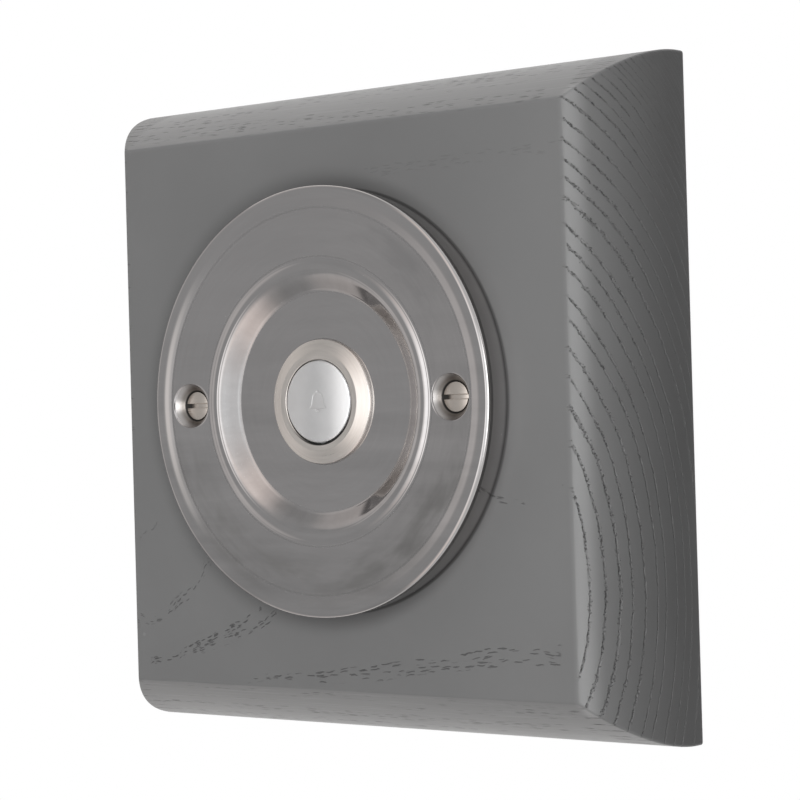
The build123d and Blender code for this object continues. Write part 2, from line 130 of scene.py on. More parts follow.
# Corners that bend by more than this stay hard
hard_corner = radians(34.0)


def grey(level, warmth=0.0, rose=0.0):
    """A linear colour from a screen grey of 0 to 255, turned warmer or redder."""
    parts = (level + warmth + rose, level, level - warmth)
    return tuple((part / 255) ** 2.2 for part in parts) + (1.0,)


def wall_point(across, up, level):
    """A point of the bench drawing, hung on the wall, in metres."""
    return Vector((across, -level, up + plate_lift)) * MM


class Value:
    """A node's output. Sums on it add Math nodes, so that 1 - mask works."""

    def __init__(self, tree, socket):
        self.tree = tree
        self.socket = socket

    def maths(self, operation, *terms):
        return self.tree.node("ShaderNodeMath", {"operation": operation}, dict(enumerate(terms)))

    def __add__(self, other):
        return self.maths("ADD", self, other)

    def __radd__(self, other):
        return self.maths("ADD", other, self)

    def __sub__(self, other):
        return self.maths("SUBTRACT", self, other)

    def __rsub__(self, other):
        return self.maths("SUBTRACT", other, self)

    def __mul__(self, other):
        return self.maths("MULTIPLY", self, other)

    def __rmul__(self, other):
        return self.maths("MULTIPLY", other, self)

    def __truediv__(self, other):
        return self.maths("DIVIDE", self, other)

    def __pow__(self, other):
        return self.maths("POWER", self, other)

    def __abs__(self):
        return self.maths("ABSOLUTE", self)

    def lesser(self, other):
        return self.maths("MINIMUM", self, other)

    def greater(self, other):
        return self.maths("MAXIMUM", self, other)

    def fraction(self):
        return self.maths("FRACT", self)

    def ease(self, start, end):
        """Rises smoothly from 0 at start to 1 at end, or falls where end is the smaller."""
        if not isinstance(start, Value) and not isinstance(end, Value) and start > end:
            return 1 - self.ease(end, start)
        settings = {"interpolation_type": "SMOOTHSTEP"}
        return self.tree.node("ShaderNodeMapRange", settings, {0: self, 1: start, 2: end})


class Tree:
    """A node tree whose nodes all come from one method."""

    def __init__(self, nodes):
        self.nodes = nodes

    def node(self, kind, settings=None, sockets=None, out=0):
        """Adds a node: its settings first, then the values or links of its sockets."""
        made = self.nodes.nodes.new(kind)
        for key, value in (settings or {}).items():
            if key == "stops":
                self.set_stops(made.color_ramp, value)
            else:
                setattr(made, key, value)
        for key, value in (sockets or {}).items():
            if isinstance(value, Value):
                self.nodes.links.new(value.socket, made.inputs[key])
            else:
                made.inputs[key].default_value = value
        return Value(self, made.outputs[out]) if len(made.outputs) else made

    def set_stops(self, ramp, stops):
        """Gives a ramp its stops, as pairs of place and colour or level."""
        while len(ramp.elements) < len(stops):
            ramp.elements.new(0.5)
        for element, (place, shade) in zip(ramp.elements, stops):
            element.position = place
            element.color = shade if isinstance(shade, tuple) else (shade, shade, shade, 1)

    def split(self, vector):
        """The three parts of a vector."""
        first = self.node("ShaderNodeSeparateXYZ", sockets={0: vector})
        outputs = first.socket.node.outputs
        return [Value(self, outputs[axis]) for axis in range(3)]

    def join(self, x, y, z):
        """A vector from its parts."""
        return self.node("ShaderNodeCombineXYZ", sockets={0: x, 1: y, 2: z})

    def length(self, x, y, z=0.0):
        """The length of the vector with these parts."""
        vector = self.join(x, y, z)
        return self.node("ShaderNodeVectorMath", {"operation": "LENGTH"}, {0: vector}, 1)

    def noise(self, vector, scale, detail=2.0, roughness=0.5):
        """Smooth noise from 0 to 1."""
        sockets = {"Vector": vector, "Scale": scale, "Detail": detail, "Roughness": roughness}
        return self.node("ShaderNodeTexNoise", sockets=sockets)

    def mix(self, mask, low, high):
        """One colour where the mask is 0 and the other where it is 1."""
        return self.node("ShaderNodeMix", {"data_type": "RGBA"}, {0: mask, 6: low, 7: high}, 2)


class Finish(Tree):
    """A material on Object coordinates."""

    def __init__(self, name):
        self.material = bpy.data.materials.new(name)
        self.material.use_nodes = True
        super().__init__(self.material.node_tree)
        self.nodes.nodes.clear()
        self.place = self.node("ShaderNodeTexCoord", out="Object")
        self.x, self.y, self.z = self.split(self.place)

    def stretched(self, x, y, z):
        """The piece's coordinates times a factor for each axis."""
        sockets = {"Vector": self.place, "Scale": (x, y, z)}
        return self.node("ShaderNodeMapping", {"vector_type": "POINT"}, sockets)

    def pores(self, x, y, z):
        """Scattered grains of a size that is set for each axis."""
        return self.grains(self.stretched(x, y, z))

    def grains(self, vector):
        """Scattered grains: the distance from the nearest, and its own random number."""
        sockets = {"Vector": vector, "Scale": 1.0}
        distance = self.node("ShaderNodeTexVoronoi", sockets=sockets)
        colour = Value(self, distance.socket.node.outputs["Color"])
        return distance, self.split(colour)[0]

    def bump(self, height, strength=1.0):
        """A normal from a height in millimetres."""
        sockets = {"Strength": strength, "Distance": MM, "Height": height}
        return self.node("ShaderNodeBump", sockets=sockets)

    def done(self, **sockets):
        """Ends in one Principled shader with these sockets."""
        named = {key.replace("_", " "): value for key, value in sockets.items()}
        shader = self.node("ShaderNodeBsdfPrincipled", sockets=named)
        self.node("ShaderNodeOutputMaterial", sockets={"Surface": shader})
        return self.material


# Strings of open grain on the front: the course in millimetres across and up, its lean, how far
# the pits spread from it, and how strongly they show
grain_strings = (
    (
        ((-62.6, -48.2), (-59.3, -48.8), (-53.5, -47.3), (-49.3, -44.3), (-46, -42.4),
         (-43.1, -39.4), (-41, -36.5), (-38.7, -34)),
        0.9, 1.5, 0.75,
    ),
    (
        ((-59.4, -59.1), (-54.4, -58.1), (-49.8, -57.3), (-45.7, -55), (-40, -53.2),
         (-33.7, -50.6), (-28.9, -48.7), (-23.4, -45.1)),
        0.45, 1.0, 0.95,
    ),
    (
        ((-49.8, -57.8), (-41.7, -55.3), (-35.3, -53.3), (-29, -51.4), (-22.8, -48.9),
         (-18.9, -46.5)),
        0.4, 1.3, 0.8,
    ),
    (
        ((-29.4, -62.6), (-23.2, -61.5), (-11.1, -60.7), (-2.8, -59.6), (7.3, -58.3),
         (21.6, -56.3), (31.1, -54.8), (41.1, -53.1), (54.4, -51.9), (59.8, -51.3)),
        0.12, 0.9, 0.85,
    ),
    (
        ((-8, -61.4), (11.8, -59.8), (16.4, -58.9), (25.3, -57.6), (35.3, -56.6),
         (48.1, -55.3), (59.6, -54.9)),
        0.07, 1.2, 0.8,
    ),
    (((35.6, -55.8), (41, -54.1), (47.4, -53.2), (55.6, -53.3), (59.7, -53.4)), 0.05, 0.7, 0.8),
    (((44.8, -4.8), (50, -5.2), (56, -5.5)), -0.05, 0.35, 0.8),
    (((41.8, -20.2), (46, -20.9), (51.5, -21.2)), -0.1, 0.9, 0.9),
    (((54.5, -17.2), (61.5, -17.5)), -0.05, 0.5, 0.5),
    (((-62, -30), (-57, -27), (-54.5, -23)), 1.0, 0.7, 0.4),
    (((10, 52), (40, 53), (62, 53.5)), 0.04, 1.8, 0.2),
)


def painted_oak():
    """Satin grey paint on open-grained oak, with painted shade round the plate and at the ends,
    and painted highlights.
    """
    paint = Finish("painted_oak")
    x, y, z = paint.x, paint.y, paint.z
    across = x / MM
    up = z / MM
    heart_y = -0.116
    heart_z = -0.039
    heart_drift = 0.045
    wide_ring = 0.003
    tight_from = 0.135
    wave = paint.noise(paint.stretched(7, 22, 22), 1.0, 2.0) - 0.5
    heart = paint.length(y - heart_y + x * heart_drift, z - heart_z)
    reach = heart + wave * 0.004
    tight = (reach - tight_from).greater(0)
    uneven = paint.noise(paint.join(reach * 160, 0.0, 0.0), 1.0, 1.0)
    ragged = paint.noise(paint.stretched(60, 800, 800), 1.0, 2.0) * 0.22
    rings = (reach / wide_ring + tight * tight * 15000 + uneven * 1.2 + ragged).fraction()
    from_ring = abs(rings - 0.5) * 2
    near_front = y.ease(-0.006, -0.022)
    early_wood = 1 - from_ring.ease(0.06 + near_front * 0.08, 0.16 + near_front * 0.2)
    ring_line = from_ring.ease(0.2, 0.0)

    back = y.ease(-0.0012, -0.0003)
    ends = abs(x).ease(0.0622, 0.0645) * (1 - back)
    edges = abs(z).ease(0.0625, 0.0645) * (1 - ends) * (1 - back)
    front = (1 - ends) * (1 - abs(z).ease(0.0625, 0.0645)) * y.ease(-0.028, -0.03)
    patchy = paint.noise(paint.stretched(16, 60, 60), 1.0, 2.0)

    distance, chance = paint.pores(260, 2300, 2300)
    pore_size = 0.26 + 0.3 * chance
    broken = paint.noise(paint.stretched(50, 360, 360), 1.0, 2.0).ease(0.36, 0.5)
    scatter = from_ring.ease(0.12 + near_front * 0.3, 0.0)
    end_open = ((scatter * 1.5 - chance) * 6).greater(0).lesser(1) * ends
    end_open = end_open * (0.3 + 0.7 * near_front) * (0.25 + 0.75 * broken)
    end_pit = ((pore_size - distance) * 7).greater(0).lesser(1) * end_open
    # Pale rims round the end-grain pits: a painted highlight
    pit_rim_highlight = ((pore_size + 0.16 - distance) * 7).greater(0).lesser(1) * end_open - end_pit
    dotted = paint.noise(paint.stretched(120, 1300, 1300), 1.0, 2.0).ease(0.38, 0.6)
    groove = ring_line * ends * (0.2 + 0.8 * dotted) * (0.4 + 0.6 * broken)
    # A highlight painted as a pale line along the front edge of the right end, which is also a
    # little glossier
    arris_highlight = y.ease(-0.0262, -0.0295) * ends * x.ease(0.0, 0.02)

    short_dash = 2.0
    long_dash = 3.2
    dash_width = 0.36
    steep_lean = 0.3
    strung = 0.0
    along = across
    off = up
    for course, lean, spread, strength in grain_strings:
        stops = [((place + 75) / 150, (height + 75) / 150) for place, height in course]
        line = paint.node("ShaderNodeValToRGB", {"stops": stops}, {0: (across + 75) / 150})
        stretch = (1 + lean * lean) ** 0.5
        from_line = (up - line * 150 + 75) / stretch
        begin = course[0][0]
        end = course[-1][0]
        within = across.ease(begin, begin + 0.6) * across.ease(end, end - 0.6)
        band = abs(from_line).ease(spread, spread * 0.5) * within * strength
        nearer = band.maths("GREATER_THAN", band, strung)
        dash_length = short_dash if lean > steep_lean else long_dash
        along = along + ((across + up * lean) / (stretch * dash_length) - along) * nearer
        off = off + (from_line + lean * 20 - off) * nearer
        strung = band.greater(strung)
    jitter = paint.noise(paint.place, 500, 1.0) - 0.5
    dashes, dash_chance = paint.grains(paint.join(along, off / dash_width + jitter * 2.4, 0.0))
    thick = (dash_chance.ease(0.15, 0.75) * 0.48 - dashes).ease(0.0, 0.14)
    front_pit = thick * strung * patchy.ease(0.12, 0.3) * front

    flecks, fleck_chance = paint.pores(260, 2600, 2600)
    fleck = ((0.42 - flecks) * 5).greater(0).lesser(1) * edges
    rows = paint.noise(paint.stretched(9, 330, 330), 1.0, 2.0)
    edge_pit = fleck * fleck_chance.ease(0.4, 0.7) * rows.ease(0.44, 0.58)
    edge_light = paint.noise(paint.stretched(60, 2200, 2200), 1.0, 2.0).ease(0.5, 0.8) * edges

    # Shade painted on the wood round the plate
    from_axis = paint.length(x + 0.005, z - plate_lift * MM)
    from_foot = paint.length(x, z - plate_lift * MM)
    painted_shade = from_axis.ease(0.054, 0.0478) * 0.36
    painted_shade = painted_shade.greater(from_foot.ease(0.0484, 0.0477) * 0.75) * front

    blotches = paint.noise(paint.place, 28, 3.0)
    orange_peel = paint.noise(paint.place, 900, 1.0)
    speck, speck_chance = paint.pores(55, 55, 55)
    specks = speck.ease(0.03, 0.015) * speck_chance.ease(0.6, 0.7)
    body = paint.mix(blotches.ease(0.3, 0.7), grey(112), grey(115.5))
    # Painted shade round the plate, darkest in a line at its foot
    body = paint.mix(painted_shade, body, grey(20))
    body = paint.mix(early_wood * ends * 0.3, body, grey(104))
    # Painted shade: the ends darker towards the back
    body = paint.mix(y.ease(-0.027, -0.004) * ends * 0.28, body, grey(60))
    # Painted highlight: a pale line on the front edge of the right end
    body = paint.mix(arris_highlight * 0.6, body, grey(146))
    # Painted highlight on the rims of the end-grain pits, and pale flecks on the top and bottom
    # edges
    body = paint.mix((pit_rim_highlight * 0.3 + edge_light * 0.3).lesser(1), body, grey(150))
    # Painted light: the top moulding made paler
    body = paint.mix(edges * z.ease(0.0, 0.03) * 0.2, body, grey(150))
    # Painted light: the front paler towards the right
    body = paint.mix(front * x.ease(0.02, 0.06) * 0.1, body, grey(150))
    body = paint.mix(groove * 0.16, body, grey(60))
    pits = end_pit * 0.52 + front_pit * 0.66 + edge_pit * 0.5
    body = paint.mix(pits, body, grey(46))
    body = paint.mix(specks * 0.6, body, grey(190))
    roughness = 0.36 + 0.1 * blotches + 0.25 * pits - 0.1 * arris_highlight
    height = orange_peel * 0.0012 - 0.2 * pits - end_pit * 0.2 - groove * 0.2
    return paint.done(
        Base_Color=body,
        Roughness=roughness,
        Normal=paint.bump(height),
    )


def turned_metal(name, low, high, roughness, grain, marks, edge=0.0):
    """Metal worked in circles about the plate's axis, with shade painted low in an inner edge."""
    metal = Finish(name)
    up = metal.z - plate_lift * MM
    radius = metal.length(metal.x, up)
    around_x = metal.x / radius.greater(0.0005)
    around_z = up / radius.greater(0.0005)
    swirl = metal.join(around_x * 1.7, around_z * 1.7, radius * grain)
    streaks = metal.noise(swirl, 1.0, 3.0, 0.6)
    fine = metal.noise(metal.join(around_x * 0.6, around_z * 0.6, radius * 5200), 1.0, 1.0)
    haze = metal.noise(metal.place, 65, 3.0)
    rubs, rub_chance = metal.pores(420, 420, 70)
    rub = rubs.ease(0.09, 0.03) * rub_chance.ease(0.72, 0.8)
    colour = metal.mix(streaks.ease(0.3, 0.7), low, high)
    low_down = (around_x * 0.35 - around_z).ease(0.1, 0.95)
    shaded = radius.ease((edge + 0.5) * MM, (edge + 0.3) * MM) * low_down
    colour = metal.mix(shaded * 0.95, colour, grey(20))
    rough = roughness + (streaks - 0.5) * 0.1 + (haze - 0.5) * 0.06 + rub * 0.1
    height = (streaks - 0.5) * marks + (fine - 0.5) * marks * 0.25 - rub * 0.0015
    return metal.done(
        Base_Color=colour,
        Metallic=1.0,
        Roughness=rough,
        Normal=metal.bump(height),
    )


def plate_metal():
    """Polished plate: turning marks and scratches, painted shade in its creases and on its side,
    and a painted highlight.
    """
    metal = Finish("polished_plate")
    across = metal.x / MM
    up = metal.z / MM - plate_lift
    radius = metal.length(across, up)
    turn_x = across / radius.greater(0.5)
    turn_z = up / radius.greater(0.5)
    patches = metal.noise(metal.stretched(38, 38, 26), 1.0, 3.0)
    turning = metal.noise(metal.join(turn_x * 3, turn_z * 3, radius * 1.1), 1.0, 3.0, 0.6)
    wiping = metal.noise(metal.stretched(22, 60, 190), 1.0, 4.0, 0.6)
    smudges = metal.noise(metal.join(turn_x * 2.2, turn_z * 2.2, radius * 0.16), 1.0, 3.0, 0.6)
    scratches, chance = metal.pores(90, 90, 900)
    scratch = scratches.ease(0.05, 0.02) * chance.ease(0.8, 0.86)
    rubs, rub_chance = metal.pores(800, 800, 110)
    rub = rubs.ease(0.06, 0.02) * rub_chance.ease(0.84, 0.9)
    marks = (scratch + rub).lesser(1)

    from_screw = metal.length(abs(across) - screw_spacing / 2, up)
    in_sink = from_screw.ease(sink_radius + 0.1, sink_radius - 0.1)
    sink_turning = metal.noise(metal.join(from_screw * 7, 0.0, 0.0), 1.0, 2.0)
    # Painted shade, darker and less metallic: a ring round each screw head, and for each crease
    # its radius and width in millimetres and how dark it goes
    painted_shade = from_screw.ease(head_radius + 0.5, head_radius + 0.3) * 0.94
    creases = ((14.05, 0.35, 0.6), (24.6, 0.3, 0.3), (32.4, 0.35, 0.45), (43.2, 0.6, 0.4))
    for place, width, depth in creases:
        painted_shade = painted_shade.greater(abs(radius - place).ease(width, 0.0) * depth)
    # Fine lines at the bead's foot, on its crown and in the crease of the dish
    turned_lines = abs(radius - 31.7).ease(0.22, 0.0) - abs(radius - 29.2).ease(0.3, 0.0)
    turned_lines = turned_lines - abs(radius - 25.0).ease(0.3, 0.0) * 0.6
    level = metal.y / -MM
    side = radius.ease(47.6, 48.1)
    shade_behind_rim = side * level.ease(36.9, 37.3) * level.ease(38.35, 38.1)
    # Painted highlight: the step paler on the left side only
    left_step_highlight = abs(radius - 44.8).ease(1.0, 0.3) * (turn_x * -1).ease(0.72, 0.97)
    low = up.ease(25, -15)
    in_wall = radius.ease(24.4, 24.9) * radius.ease(30, 28.5)
    sweeps = metal.noise(metal.join(turn_x * 9, turn_z * 9, radius * 0.2), 1.0, 3.0, 0.6)
    by_screw = radius.ease(32, 36) * radius.ease(44, 41) * smudges.ease(0.45, 0.75)
    # Smudges by the screws, stronger to the right, and the plate darker towards the bottom
    darker_by_screws_and_low = by_screw * across.ease(-10, 30) * 0.18 + (up + 12).ease(-10, -34) * 0.13
    wiped = (wiping - 0.5) * (0.4 + 0.9 * low)
    tone = (patches - 0.5) * 0.25 + (turning - 0.5) * 0.3 + wiped + 0.5
    low_rim = radius.ease(33, 40) * radius.ease(47, 43) * turn_z.ease(0, -0.6)
    dirt = smudges.ease(0.35, 0.7) * low_rim
    colour = metal.mix(tone, grey(189, 0, 2.2), grey(218, 0, 2.6))
    # Painted highlight on the step at the left
    colour = metal.mix(left_step_highlight, colour, grey(232, 2, 2.6))
    colour = metal.mix((sweeps - 0.35).greater(0) * in_wall * 0.5, colour, grey(150, 2, 2))
    # Painted shade: the lower part of the dish wall darker
    lower_wall_shade = radius.ease(28.6, 26.4) * radius.ease(24.9, 25.6)
    colour = metal.mix(lower_wall_shade * 0.3, colour, grey(150, 2, 2))
    colour = metal.mix(dirt * 0.3, colour, grey(122, 8, -6))
    # Painted shade: the plate's outer side darker, and darkest just below the rim
    colour = metal.mix(side * 0.9, colour, grey(168, 1, 2))
    colour = metal.mix(shade_behind_rim * 0.6, colour, grey(60, 1, 1))
    sink_edge = from_screw.ease(sink_radius - 1.1, sink_radius - 0.3)
    sink_shade = in_sink * (0.75 + 0.2 * sink_turning) * (1 - sink_edge * 0.5)
    colour = metal.mix(sink_shade, colour, grey(112, 6))
    colour = metal.mix(darker_by_screws_and_low, colour, grey(110, -2))
    # Painted shade in the creases and round the screw heads
    colour = metal.mix(painted_shade, colour, grey(26, 1))
    brushed = in_wall * turn_x.ease(0.3, -0.2)
    rough = 0.09 + brushed * 0.06 + (patches - 0.5) * 0.08
    rough = rough + marks * 0.12 + in_sink * 0.24 + painted_shade * 0.3
    streaks = (turning - 0.5) * patches.ease(0.35, 0.65) * 0.0012 + (wiping - 0.5) * 0.0012
    streaks = streaks * (1 - in_wall)
    height = streaks - marks * 0.0008 + in_sink * (sink_turning - 0.5) * 0.012
    height = height + from_screw.ease(sink_radius - 0.05, sink_radius + 0.35) * 0.1
    height = height + turned_lines * 0.022
    return metal.done(
        Base_Color=colour,
        Metallic=1.0 - painted_shade * 0.6,
        Roughness=rough,
        Normal=metal.bump(height),
    )


def button_metal():
    """Matt silver button, blasted fine, with an engraved bell sign showing a little wear."""
    metal = Finish("matt_button")
    across = abs(metal.x) / MM
    up = metal.z / MM - plate_lift
    down = (2.6 - up) / 5.2
    stops = [(0.0, 0.0), (0.03, 0.09), (0.1, 0.1), (0.13, 0.2), (0.2, 0.31), (0.32, 0.37)]
    stops += [(0.62, 0.43), (0.74, 0.53), (0.8, 0.62), (0.81, 0.0), (1.0, 0.0)]
    half = metal.node("ShaderNodeValToRGB", {"stops": stops}, {0: down}) * 4.2
    inside = (half - across).ease(-0.06, 0.1) * up.ease(2.65, 2.55) * up.ease(-1.6, -1.5)
    clapper = metal.length(across, up + 1.75).ease(0.72, 0.6) * up.ease(-1.72, -1.84)
    sign = inside.greater(clapper)
    front = metal.y.ease((-button_level + 0.4) * MM, (-button_level + 0.1) * MM)
    grains = metal.noise(metal.place, 5200, 2.0)
    wear = metal.noise(metal.place, 240, 3.0)
    radius = metal.length(metal.x, metal.z - plate_lift * MM) / MM
    rubbed = radius.ease(8.6, 9.1) * 0.5
    right = metal.x.greater(0) / MM
    dome = across * across * 0.014 + right * right * right * 0.0006 + up * up * 0.003
    colour = metal.mix(wear.ease(0.3, 0.7), grey(248, -1), grey(253, -1))
    colour = metal.mix(sign * front * 0.15, colour, grey(160, 1))
    return metal.done(
        Base_Color=colour,
        Metallic=1.0,
        Roughness=0.42 + (wear - 0.5) * 0.12 - rubbed * 0.12 + sign * front * 0.08,
        Normal=metal.bump((grains - 0.5) * 0.006 - sign * front * 0.09 - dome * front),
    )


def drawn_metal(name, low, high, roughness, tarnish=0.3, scale=1.0):
    """Rolled or drawn metal: lines along X, tarnish in patches and small dents."""
    metal = Finish(name)
    lines = metal.noise(metal.stretched(120, 3800, 3800), scale, 2.0)
    patches = metal.noise(metal.place, 180 * scale, 4.0)
    dents, chance = metal.pores(500, 500, 500)
    dent = dents.ease(0.2, 0.05) * chance.ease(0.8, 0.9)
    colour = metal.mix(patches.ease(0.35, 0.7) * tarnish, high, low)
    return metal.done(
        Base_Color=colour,
        Metallic=1.0,
        Roughness=roughness + (patches - 0.5) * 0.16 + (lines - 0.5) * 0.08,
        Normal=metal.bump((lines - 0.5) * 0.006 - dent * 0.01),
    )


def moulded(name, low, high, roughness, texture=0.012):
    """Moulded plastic or rubber: spark texture, flow marks and a few scuffs."""
    plastic = Finish(name)
    spark = plastic.noise(plastic.place, 3600, 2.0)
    flow = plastic.noise(plastic.stretched(40, 160, 90), 1.0, 3.0)
    scuffs, chance = plastic.pores(900, 900, 130)
    scuff = scuffs.ease(0.08, 0.03) * chance.ease(0.7, 0.8)
    colour = plastic.mix(flow.ease(0.3, 0.7), low, high)
    return plastic.done(
        Base_Color=colour,
        Roughness=roughness + (flow - 0.5) * 0.12 + scuff * 0.15,
        Normal=plastic.bump((spark - 0.5) * texture - scuff * 0.004),
    )


def circuit_board():
    """Green lacquered board with its weave and copper tracks under the lacquer."""
    board = Finish("lacquered_board")
    weave = board.noise(board.stretched(2600, 900, 320), 1.0, 1.0)
    cross_weave = board.noise(board.stretched(320, 900, 2600), 1.0, 1.0)
    track_x = abs((board.x * 130).fraction() - 0.5)
    turns = board.noise(board.place, 140, 0.0)
    track_z = abs((board.z * 130).fraction() - 0.5)
    run = turns.ease(0.48, 0.52)
    tracks = (track_x.ease(0.15, 0.11) * run).greater(track_z.ease(0.15, 0.11) * (1 - run))
    colour = board.mix(tracks * 0.7, (0.012, 0.085, 0.035, 1), (0.03, 0.17, 0.06, 1))
    cloth = (weave + cross_weave) * 0.5
    return board.done(
        Base_Color=colour,
        Roughness=0.34 + (cloth - 0.5) * 0.2 - tracks * 0.05,
        Normal=board.bump((cloth - 0.5) * 0.01 + tracks * 0.02),
    )


def rounded(before, corner, after, radius, steps=5):
    """The points of a small arc that takes the place of a corner."""
    corner = Vector(corner)
    back = (Vector(before) - corner).normalized()
    forth = (Vector(after) - corner).normalized()
    bend = back.angle(forth)
    reach = radius / tan(bend / 2)
    middle = corner + (back + forth).normalized() * (radius / sin(bend / 2))
    start = corner + back * reach
    end = corner + forth * reach
    points = []
    for step in range(steps + 1):
        chord = start.lerp(end, step / steps) - middle
        points.append(tuple(middle + chord.normalized() * radius))
    return points


def arc(centre, radius, start, end, steps):
    """Points on a circle between two angles in degrees."""
    angles = [radians(start + (end - start) * step / steps) for step in range(steps + 1)]
    return [(centre[0] + radius * cos(a), centre[1] + radius * sin(a)) for a in angles]


def settle(piece, shape):
    """Gives a piece its shape: doubles merged, faces outward, hard corners marked."""
    bmesh.ops.remove_doubles(shape, verts=shape.verts, dist=0.002 * MM)
    bmesh.ops.recalc_face_normals(shape, faces=shape.faces)
    for face in shape.faces:
        face.smooth = True
    for edge in shape.edges:
        edge.smooth = not (edge.is_manifold and edge.calc_face_angle() > hard_corner)
    shape.to_mesh(piece.data)
    shape.free()
    return piece


def new_piece(name):
    """An empty piece at the origin."""
    piece = bpy.data.objects.new(name, bpy.data.meshes.new(name))
    bpy.context.scene.collection.objects.link(piece)
    return piece


def turned(name, outline, segments, across=0.0, up=0.0):
    """A closed outline of (radius, level) points, spun about an axis square to the wall."""
    shape = bmesh.new()
    rings = []
    for radius, level in outline:
        count = segments if radius > 0 else 1
        turns = [2 * pi * step / segments for step in range(count)]
        places = [(across + radius * cos(a), up + radius * sin(a)) for a in turns]
        rings.append([shape.verts.new(wall_point(*place, level)) for place in places])
    for near, far in zip(rings, rings[1:] + rings[:1]):
        if len(near) == len(far) == 1:
            continue
        for step in range(segments):
            after = step + 1
            loop = [near[step % len(near)], near[after % len(near)]]
            loop += [far[after % len(far)], far[step % len(far)]]
            shape.faces.new(list(dict.fromkeys(loop)))
    return settle(new_piece(name), shape)


def prism(name, outline, low, high):
    """A flat outline of (across, up) points between two levels."""
    shape = bmesh.new()
    floor = [shape.verts.new(wall_point(*point, low)) for point in outline]
    roof = [shape.verts.new(wall_point(*point, high)) for point in outline]
    shape.faces.new(floor)
    shape.faces.new(roof)
    for step in range(len(outline)):
        after = (step + 1) % len(outline)
        shape.faces.new([floor[step], floor[after], roof[after], roof[step]])
    return settle(new_piece(name), shape)


def plain_mesh(piece):
    """Turns a piece and its modifiers into one plain mesh."""
    evaluated = piece.evaluated_get(bpy.context.evaluated_depsgraph_get())
    finished = bpy.data.meshes.new_from_object(evaluated)
    piece.modifiers.clear()
    piece.data = finished
    return piece


def carve(piece, operation, *tools):
    """Joins tools to a piece or cuts them from it, then marks its corners again."""
    for tool in tools:
        step = piece.modifiers.new(tool.name, "BOOLEAN")
        step.operation = operation
        step.solver = "EXACT"
        step.object = tool
    plain_mesh(piece)
    for tool in tools:
        bpy.data.objects.remove(tool)
    shape = bmesh.new()
    shape.from_mesh(piece.data)
    return settle(piece, shape)


def block_outline():
    """The block's edge from back to front, as (half width, level) points."""
    rise = block_depth - square_edge
    radius = (moulding_width**2 + rise**2) / (2 * moulding_width)
    centre = block_half - radius
    ease_level = block_depth - arris_round
    ease_across = centre + sqrt((radius - arris_round) ** 2 - (ease_level - square_edge) ** 2)
    end = asin((ease_level - square_edge) / (radius - arris_round)) * 180 / pi
    points = [(block_half - 4.0, 0.0), (block_half - back_round - 0.3, 0.0)]
    points += arc((block_half - back_round, back_round), back_round, -90, 0, 6)
    points += [(block_half, back_round + 0.2), (block_half, square_edge - 0.1)]
    points += arc((centre, square_edge), radius, 0, end, 28)
    points += arc((ease_across, ease_level), arris_round, end, 90, 5)[1:]
    points += [(ease_across - 0.3, block_depth), (ease_across - 4.0, block_depth)]
    return points


def block_loop(half, level):
    """A square about the block's middle with softened corners, as points on the wall."""
    points = []
    inner = half - mitre_round
    for quarter in range(4):
        bend = quarter * 90
        turn = Matrix.Rotation(radians(bend), 2)
        corner = [(half, inner - 0.4)] + arc((inner, inner), mitre_round, 0, 90, 5)
        corner += [(inner - 0.4, half)]
        points += [turn @ Vector(point) for point in corner]
    return [wall_point(point.x, point.y - plate_lift, level) for point in points]


def hollow_shape():
    """The hollow's outline: a round pocket with straight sides and soft corners."""
    corner = hollow_radius - hollow_corner
    ease_across = hollow_half - hollow_corner
    ease_up = sqrt(corner**2 - ease_across**2)
    bend = asin(ease_up / corner) * 180 / pi
    points = []
    points += arc((ease_across, ease_up), hollow_corner, 0, bend, 6)
    points += arc((0, 0), hollow_radius, bend, 180 - bend, 40)[1:-1]
    points += arc((-ease_across, ease_up), hollow_corner, 180 - bend, 180, 6)
    points += arc((-ease_across, -ease_up), hollow_corner, 180, 180 + bend, 6)
    points += arc((0, 0), hollow_radius, 180 + bend, 360 - bend, 40)[1:-1]
    points += arc((ease_across, -ease_up), hollow_corner, 360 - bend, 360, 6)
    return points


def oak_block():
    """The moulded block: mitred loops, then the hollow and every screw hole."""
    shape = bmesh.new()
    loops = []
    for half, level in block_outline():
        loops.append([shape.verts.new(point) for point in block_loop(half, level)])
    for near, far in zip(loops, loops[1:]):
        for step in range(len(near)):
            after = (step + 1) % len(near)
            shape.faces.new([near[step], near[after], far[after], far[step]])
    shape.faces.new(loops[0])
    shape.faces.new(loops[-1])
    block = settle(new_piece("oak_block"), shape)
    cuts = [prism("hollow", hollow_shape(), hollow_floor, block_depth + 1)]
    sink_floor = hollow_floor - (wall_sink_radius - wall_hole_radius)
    pilot = shank_radius + 0.02
    pilot_end = head_level - screw_length - 1
    for side in (-1, 1):
        wall_hole = [(0, -1), (wall_hole_radius, -1), (wall_hole_radius, sink_floor)]
        wall_hole += [(wall_sink_radius + 1, hollow_floor + 1), (0, hollow_floor + 1)]
        cuts.append(turned("wall_hole", wall_hole, 40, up=side * wall_hole_up))
        screw_hole_shape = [(0, pilot_end), (pilot, pilot_end), (pilot, 33), (0, 33)]
        cuts.append(turned("pilot", screw_hole_shape, 24, across=side * screw_spacing / 2))
        for end in (-1, 1):
            low = hollow_floor - board_hole_depth
            rim = board_hole_radius
            hole = [(0, low), (rim, low), (rim, hollow_floor + 1), (0, hollow_floor + 1)]
            place = {"across": side * board_hole_across, "up": end * board_hole_up}
            cuts.append(turned("board_hole", hole, 16, **place))
    return carve(block, "DIFFERENCE", *cuts)


